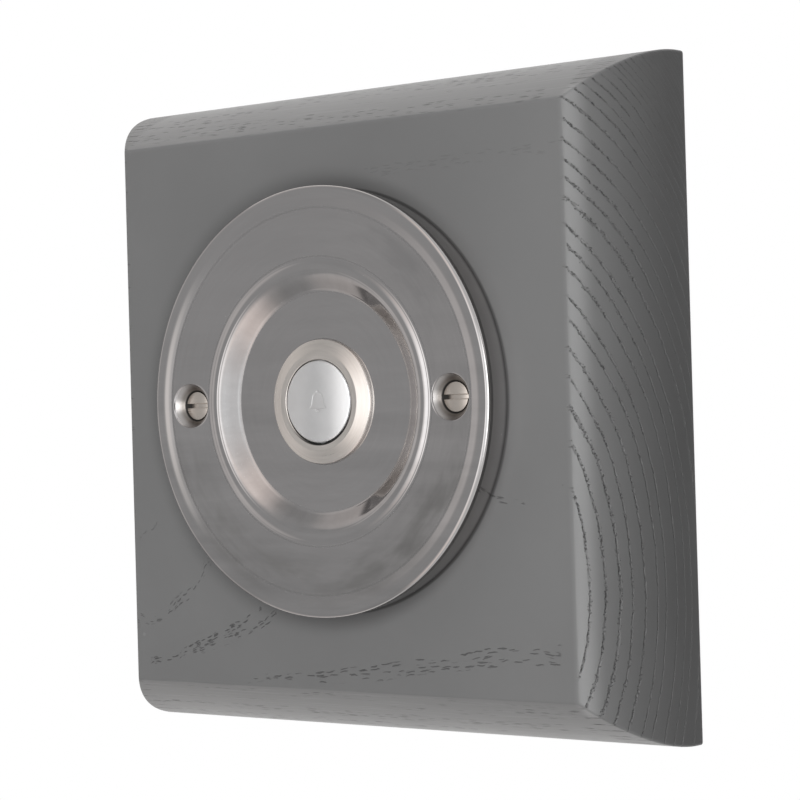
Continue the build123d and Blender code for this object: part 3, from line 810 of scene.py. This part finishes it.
def level_arc(flat, end, steps=8):
    """Points on the arc that starts level at one place and comes to another."""
    run = end[0] - flat[0]
    rise = end[1] - flat[1]
    radius = (run**2 + rise**2) / (2 * rise)
    bend = asin(run / radius)
    turns = [bend * step / steps for step in range(steps + 1)]
    return [(flat[0] + radius * sin(turn), flat[1] + radius * (1 - cos(turn))) for turn in turns]


def ogee(start, end):
    """Points on two tangent arcs that carry one flat over to another."""
    middle = ((start[0] + end[0]) / 2, (start[1] + end[1]) / 2)
    return level_arc(start, middle) + level_arc(end, middle)[-2::-1]


def sheet_back(corner, before, after):
    """The point on the back of the sheet behind a bend from one slope to the next."""
    middle = radians((before + after) / 2)
    reach = sheet / cos(radians((after - before) / 2))
    return (corner[0] + reach * sin(middle), corner[1] - reach * cos(middle))


def plate_outline():
    """The plate's section as a closed line of (radius, level) points."""
    bend = radians(wall_angle)
    crown = (bead_radius, bead_foot_level + bead_height)
    lip = (crown[0] - lip_round * sin(bend), crown[1] - lip_round * (1 - cos(bend)))
    floor_edge = (lip[0] - (lip[1] - dish_level) / tan(bend), dish_level)
    wall_top = (floor_edge[0] + (bead_foot_level - dish_level) / tan(bend), bead_foot_level)
    bead_foot = (bead_foot_radius, bead_foot_level)
    step_foot = (step_foot_radius, field_level)
    step_top = (step_top_radius, rim_level)
    rim = (plate_radius, rim_level)
    wall_foot = (foot_radius, block_depth)
    points = [(barrel_hole, dish_level), (barrel_hole + 3, dish_level)]
    points += [(floor_edge[0] - 0.6, dish_level)]
    points += rounded(points[-1], floor_edge, lip, crease_round)
    points += [(lip[0] - 0.4, lip[1] - 0.4 * tan(bend))]
    points += level_arc(crown, lip)[::-1]
    points += ogee(crown, bead_foot)[1:]
    points += [(bead_foot[0] + 0.5, bead_foot_level + 0.5 * field_slope)]
    points += [(step_foot[0] - 0.5, field_level - 0.5 * field_slope)]
    points += rounded(bead_foot, step_foot, step_top, step_crease_round)
    points += rounded(step_foot, step_top, rim, step_round, 8)
    points += [(step_top[0] + 1.1, rim_level), (plate_radius - edge_round - 0.2, rim_level)]
    points += rounded(points[-1], rim, wall_foot, edge_round, 8)
    points += [(plate_radius - 0.18, rim_level - 1.8), (foot_radius + 0.02, block_depth + 0.3)]
    points += [wall_foot, (foot_radius - sheet, block_depth)]
    points += [(plate_radius - sheet, field_level - sheet)]
    points += [(step_foot_radius, field_level - sheet)]
    points += [(bead_foot_radius, bead_foot_level - sheet), sheet_back(wall_top, wall_angle, 0)]
    points += [sheet_back(floor_edge, 0, wall_angle), (barrel_hole, dish_level - sheet)]
    return points


def pressed_plate():
    """The pressed plate with its two screw dimples."""
    plate = turned("pressed_plate", plate_outline(), 224)
    low = sink_level - sink_depth
    dimple_top = sink_level - sheet / 2
    above = sink_level + sheet
    bulges = []
    sinks = []
    for side in (-1, 1):
        across = side * screw_spacing / 2
        base = screw_hole + dimple_wall
        bulge = [(0, low), (base, low), (base + (dimple_top - low) * sink_tan, dimple_top)]
        bulges.append(turned("bulge", bulge + [(0, dimple_top)], 72, across=across))
        sink = [(0, low - 1), (screw_hole, low - 1), (screw_hole, low)]
        sink += [(sink_radius + sheet * sink_tan, above), (0, above)]
        sinks.append(turned("sink", sink, 72, across=across))
    carve(plate, "UNION", *bulges)
    return carve(plate, "DIFFERENCE", *sinks)


def bezel_barrel():
    """The threaded barrel and its chamfered bezel."""
    outline = [(bore_radius, lip_back), (bore_radius, land_level - 0.5)]
    outline += rounded(outline[-1], (bore_radius, land_level), (land_radius, land_level), 0.15)
    chamfer = (bezel_radius, bezel_level)
    outline += [(bore_radius + 0.3, land_level), (land_radius - 0.25, land_level)]
    outline += rounded(outline[-1], (land_radius, land_level), chamfer, 0.3, 3)
    outline += [(land_radius + 0.4, land_level - 0.4 * chamfer_slope)]
    outline += [(bezel_radius - 0.3, bezel_level + 0.3 * chamfer_slope)]
    outline += rounded(outline[-1], chamfer, (bezel_radius, dish_level), 0.18)
    outline += [(bezel_radius, bezel_level - 0.4), (bezel_radius, dish_level)]
    outline += [(seal_outer, dish_level), (seal_outer, seal_level), (seal_inner, seal_level)]
    outline += [(seal_inner, dish_level), (barrel_radius, dish_level)]
    outline += [(barrel_radius, barrel_end + 0.4), (barrel_radius - 0.4, barrel_end)]
    outline += [(barrel_bore, barrel_end), (barrel_bore, lip_back)]
    return turned("bezel_barrel", outline, 192)


def button_cap():
    """The button: a turned cap, hollow behind, with its collar."""
    top = (button_radius, button_level)
    outline = [(0, cap_ceiling), (0, button_level), (button_radius - 0.7, button_level)]
    outline += rounded(outline[-1], top, (button_radius, collar_front), button_round, 6)
    outline += [(button_radius, button_level - 0.6), (button_radius, collar_front)]
    outline += [(collar_radius, collar_front), (collar_radius, collar_back)]
    outline += [(cap_bore, collar_back), (cap_bore, cap_ceiling)]
    return turned("button_cap", outline, 160)


def slotted_screws(material):
    """Both plate screws, from one tree of Geometry Nodes with named sizes."""
    sizes = {
        "Head Radius": head_radius * MM,
        "Head Rim": head_rim * MM,
        "Cone Depth": (head_radius - shank_radius) / sink_tan * MM,
        "Shank Radius": shank_radius * MM,
        "Shank End": (screw_length - screw_point) * MM,
        "Point": screw_point * MM,
        "Slot Width": slot_width * MM,
        "Slot Depth": slot_depth * MM,
        "Spacing": screw_spacing * MM,
    }
    group = bpy.data.node_groups.new("slotted_screws", "GeometryNodeTree")
    for size in sizes:
        group.interface.new_socket(size, in_out="INPUT", socket_type="NodeSocketFloat")
    group.interface.new_socket("Screws", in_out="OUTPUT", socket_type="NodeSocketGeometry")
    tree = Tree(group)
    given = tree.node("NodeGroupInput").socket.node.outputs
    size = {name: Value(tree, given[name]) for name in sizes}

    def frustum(top, bottom, depth, level):
        """An open cone between two radii, ending at a level below the head's top."""
        sockets = {"Vertices": 64, "Radius Top": top, "Radius Bottom": bottom, "Depth": depth}
        cone = tree.node("GeometryNodeMeshCone", {"fill_type": "NONE"}, sockets)
        move = {"Geometry": cone, "Translation": tree.join(0.0, 0.0, level)}
        return tree.node("GeometryNodeTransform", sockets=move)

    rim = size["Head Rim"]
    neck = rim + size["Cone Depth"]
    top_sockets = {"Vertices": 64, "Radius": size["Head Radius"]}
    top = tree.node("GeometryNodeMeshCircle", {"fill_type": "NGON"}, top_sockets)
    collar = frustum(size["Head Radius"], size["Head Radius"], rim, 0.0 - rim)
    cone = frustum(size["Head Radius"], size["Shank Radius"], size["Cone Depth"], 0.0 - neck)
    straight = size["Shank End"] - neck
    shank = frustum(size["Shank Radius"], size["Shank Radius"], straight, 0.0 - size["Shank End"])
    tip_level = 0.0 - size["Shank End"] - size["Point"]
    tip = frustum(size["Shank Radius"], 0.0, size["Point"], tip_level)
    joined = tree.node("GeometryNodeJoinGeometry")
    for part in (top, collar, cone, shank, tip):
        group.links.new(part.socket, joined.socket.node.inputs[0])
    merging = {"Geometry": joined, "Distance": 0.001 * MM}
    body = tree.node("GeometryNodeMergeByDistance", sockets=merging)
    bar = tree.join(size["Head Radius"] * 3, size["Slot Width"], size["Slot Depth"] * 2)
    bar_mesh = tree.node("GeometryNodeMeshCube", sockets={"Size": bar})
    cutting = {"operation": "DIFFERENCE", "solver": "EXACT"}
    screw = tree.node("GeometryNodeMeshBoolean", cutting, {0: body, 1: bar_mesh})
    first = tree.join(size["Spacing"] * -0.5, 0.0, 0.0)
    stride = tree.join(size["Spacing"], 0.0, 0.0)
    line = {"Count": 2, "Start Location": first, "Offset": stride}
    row = tree.node("GeometryNodeMeshLine", {"mode": "OFFSET"}, line)
    copies = tree.node("GeometryNodeInstanceOnPoints", sockets={"Points": row, "Instance": screw})
    place = {
        "Geometry": copies,
        "Translation": wall_point(0, 0, head_level),
        "Rotation": (pi / 2, 0.0, 0.0),
    }
    hung = tree.node("GeometryNodeTransform", sockets=place)
    real = tree.node("GeometryNodeRealizeInstances", sockets={"Geometry": hung})
    painted = {"Geometry": real, "Material": material}
    finished = tree.node("GeometryNodeSetMaterial", sockets=painted)
    tree.node("NodeGroupOutput", sockets={"Screws": finished})

    screws = new_piece("slotted_screws")
    step = screws.modifiers.new("screws", "NODES")
    step.node_group = group
    for item in group.interface.items_tree:
        if item.in_out == "INPUT":
            step[item.identifier] = sizes[item.name]
    plain_mesh(screws)
    soften = screws.modifiers.new("soft_edges", "BEVEL")
    soften.width = 0.12 * MM
    soften.segments = 2
    soften.limit_method = "ANGLE"
    soften.angle_limit = radians(50)
    plain_mesh(screws)
    shape = bmesh.new()
    shape.from_mesh(screws.data)
    return settle(screws, shape)


def dress(piece, material, body, node):
    """Finishes a piece that stands for a solid: its material and body, with the solid hidden."""
    piece.data.materials.clear()
    piece.data.materials.append(material)
    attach(piece, body)
    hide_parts(node)


def repaint(material, *nodes):
    """Gives solids that keep their own shape a better material."""
    for node in nodes:
        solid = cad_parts[node]
        for place in range(len(solid.material_slots)):
            solid.material_slots[place].material = material


def set_camera():
    """The camera at the photograph's place, looking slightly up at the push."""
    lens = bpy.data.cameras.new("view")
    lens.lens = 110.81
    lens.sensor_width = 36
    lens.clip_start = 0.01
    camera = bpy.data.objects.new("view", lens)
    bpy.context.scene.collection.objects.link(camera)
    look = Vector((-0.615498, 0.788083, 0.009388)).normalized()
    right = look.cross(Vector((0.027822, 0.009822, 0.999565))).normalized()
    above = right.cross(look)
    turn = Matrix((right, above, -look)).transposed().to_4x4()
    camera.matrix_world = Matrix.Translation((0.35234, -0.45865, -0.00382)) @ turn
    bpy.context.scene.camera = camera


def soft_light(name, place, size, watts, shade=(1, 1, 1)):
    """A square soft lamp that faces the push and doesn't show in polished metal."""
    lamp = bpy.data.lights.new(name, "AREA")
    lamp.size = size
    lamp.energy = watts
    lamp.color = shade
    holder = bpy.data.objects.new(name, lamp)
    bpy.context.scene.collection.objects.link(holder)
    holder.location = place
    holder.rotation_euler = (-Vector(place)).to_track_quat("-Z", "Y").to_euler()
    holder.visible_glossy = False


def light_tent():
    """A white surround, and uneven greys by direction for polished metal to reflect."""
    world = bpy.data.worlds.new("tent")
    bpy.context.scene.world = world
    world.use_nodes = True
    tent = Tree(world.node_tree)
    world.node_tree.nodes.clear()
    towards = tent.node("ShaderNodeTexCoord", out="Generated")
    x, y, z = tent.split(towards)
    turn = x.maths("ARCTAN2", x, 0 - y) / (2 * pi) + 0.5
    low = [
        (-180, 1.2, 0), (-122, 1.4, 0), (-107, 0.3, 3), (-100, 0.23, 3), (-92, 0.26, 3),
        (-82, 0.38, 3), (-75, 0.55, 3), (-60, 0.54, 3), (-56, 0.48, 3), (-49, 0.34, 1),
        (-38, 0.335, 0), (-26, 0.34, 0), (-22, 0.5, 1), (-19, 0.72, 2), (-12, 1.0, 2),
        (-3, 1.42, 1), (4, 1.4, 0), (11, 1.0, 0), (17, 0.86, 0), (28, 0.92, -2), (36, 1.6, 0),
        (54, 2.0, 0), (57.5, 6.5, 0), (62.5, 6.5, 0), (66.5, 1.8, 0), (75, 0.8, 0), (90, 0.1, 0),
        (100, 0.04, 0), (112, 0.13, 0), (150, 0.1, 0), (172, 0.6, 0), (180, 1.2, 0),
    ]
    high = [
        (-180, 1.3, 0), (-104, 1.1, 3), (-94, 0.75, 3), (-86, 0.5, 5), (-62, 0.46, 3),
        (-54, 0.33, 0), (-32, 0.31, 0), (-20, 0.38, 2), (-10, 0.6, 7), (0, 0.8, 9),
        (9, 0.92, 9), (17, 0.82, 4), (30, 0.75, 0), (80, 0.9, 0), (140, 1.4, 0), (180, 1.3, 0),
    ]
    sides = []
    for stretch in (low, high):
        stops = []
        for angle, level, warmth in stretch:
            shade = (level * (1 + 0.012 * warmth), level, level * (1 - 0.006 * warmth), 1)
            stops.append(((angle + 180) / 360, shade))
        sides.append(tent.node("ShaderNodeValToRGB", {"stops": stops}, {0: turn}))
    tilt = abs(z)
    seen = tent.mix(tilt.ease(0.1, 0.52), *sides)
    gap = turn.ease(0.2694, 0.2611) * turn.ease(0.2083, 0.2306)
    gap = gap * tilt.ease(0.2, 0.3) * tilt.ease(0.57, 0.5)
    seen = tent.mix(gap * 0.8, seen, (0.02, 0.021, 0.024, 1))
    seen = tent.mix(tilt.ease(0.9, 1.0), seen, (0.8, 0.8, 0.8, 1))
    rays = tent.node("ShaderNodeLightPath").socket.node.outputs
    camera_ray = Value(tent, rays["Is Camera Ray"])
    mirror_ray = Value(tent, rays["Is Glossy Ray"]).greater(
        Value(tent, rays["Is Transmission Ray"])
    )
    shade = tent.mix(mirror_ray, (0.25, 0.25, 0.25, 1), seen)
    shade = tent.mix(camera_ray, shade, (1, 1, 1, 1))
    background = tent.node("ShaderNodeBackground", sockets={"Color": shade, "Strength": 1.0})
    tent.node("ShaderNodeOutputWorld", sockets={"Surface": background})
    world.cycles.sampling_method = "NONE"


def pale_floor():
    """A round pale floor under the push that fades into the white surround."""
    shape = bmesh.new()
    bmesh.ops.create_circle(shape, cap_ends=True, segments=96, radius=1.15)
    floor = new_piece("floor")
    shape.to_mesh(floor.data)
    shape.free()
    floor.location = (0, 0, -0.3)
    finish = Finish("floor_paper")
    away = finish.length(finish.x, finish.y)
    speckle = finish.noise(finish.place, 400, 2.0)
    colour = finish.mix(speckle, (0.8, 0.8, 0.8, 1), (0.84, 0.84, 0.84, 1))
    paper = finish.node("ShaderNodeBsdfDiffuse", sockets={"Color": colour})
    white = finish.node("ShaderNodeEmission", sockets={"Color": (1, 1, 1, 1)})
    rays = finish.node("ShaderNodeLightPath").socket.node.outputs
    camera_ray = Value(finish, rays["Is Camera Ray"])
    mask = camera_ray * (0.6 + 0.4 * away.ease(0.15, 1.1))
    both = finish.node("ShaderNodeMixShader", sockets={0: mask, 1: paper, 2: white})
    finish.node("ShaderNodeOutputMaterial", sockets={"Surface": both})
    floor.data.materials.append(finish.material)
    floor.visible_glossy = False


set_camera()
light_tent()
pale_floor()
soft_light("front", (0.35, -1.5, 0.25), 1.0, 11.5)
soft_light("top", (-0.05, -0.25, 1.3), 1.0, 6)
soft_light("low", (-0.1, -0.9, -0.28), 0.4, 2)

bezel_steel = turned_metal("turned_bezel", grey(236, 6), grey(246, 6), 0.3, 2400, 0.003, 9.4)
screw_steel = drawn_metal("bright_screw", grey(200, 10), grey(236, 9), 0.24)

dress(oak_block(), painted_oak(), "block", "wood_block")
dress(pressed_plate(), plate_metal(), "block", "push_plate")
dress(bezel_barrel(), bezel_steel, "block", "switch_barrel")
dress(button_cap(), button_metal(), "button", "push_button")
dress(slotted_screws(screw_steel), screw_steel, "block", "plate_screws")

repaint(moulded("black_rubber_seal", grey(38), grey(48), 0.7), "seal_ring")
repaint(drawn_metal("zinc_washer", grey(150, -3), grey(196, -2), 0.35), "lock_washer")
repaint(turned_metal("zinc_nut", grey(160, -2), grey(190, -1), 0.34, 1500, 0.004), "switch_nut")
repaint(moulded("white_plunger", grey(208, 2), grey(216, 2), 0.42), "plunger")
repaint(drawn_metal("silvered_disc", grey(180, 14), grey(214, 16), 0.26), "contact_disc")
spring_steel = drawn_metal("spring_steel", grey(120), grey(168), 0.3, 0.6)
repaint(spring_steel, "retaining_clip", "return_spring", "battery_strap")
black_moulding = moulded("black_moulding", grey(34), grey(44), 0.5)
repaint(black_moulding, "switch_base", "battery_holder")
brass = drawn_metal("contact_brass", (0.42, 0.27, 0.08, 1), (0.62, 0.43, 0.15, 1), 0.28, 0.7)
repaint(brass, "fixed_contact_left", "fixed_contact_right")
repaint(moulded("red_lead", (0.36, 0.02, 0.015, 1), (0.42, 0.03, 0.02, 1), 0.4), "lead_wire_left")
repaint(moulded("black_lead", grey(30), grey(38), 0.4), "lead_wire_right")
repaint(circuit_board(), "transmitter_board")
repaint(moulded("white_spacer", grey(214, 2), grey(222, 2), 0.45), "board_spacers")
repaint(drawn_metal("zinc_screw", grey(150, -2), grey(200, -1), 0.32), "board_screws")
repaint(drawn_metal("cell_steel", grey(186), grey(212), 0.22), "battery_cell")
chip_black = moulded("chip_moulding", grey(28), grey(36), 0.55)
repaint(chip_black, "radio_chip", "encoder_chip")
repaint(drawn_metal("can_aluminium", grey(178), grey(206), 0.3), "crystal_can", "capacitor")
repaint(drawn_metal("tinned_wire", grey(170), grey(205), 0.28, 0.5), "aerial_loop")

bpy.context.scene.view_settings.view_transform = "Standard"
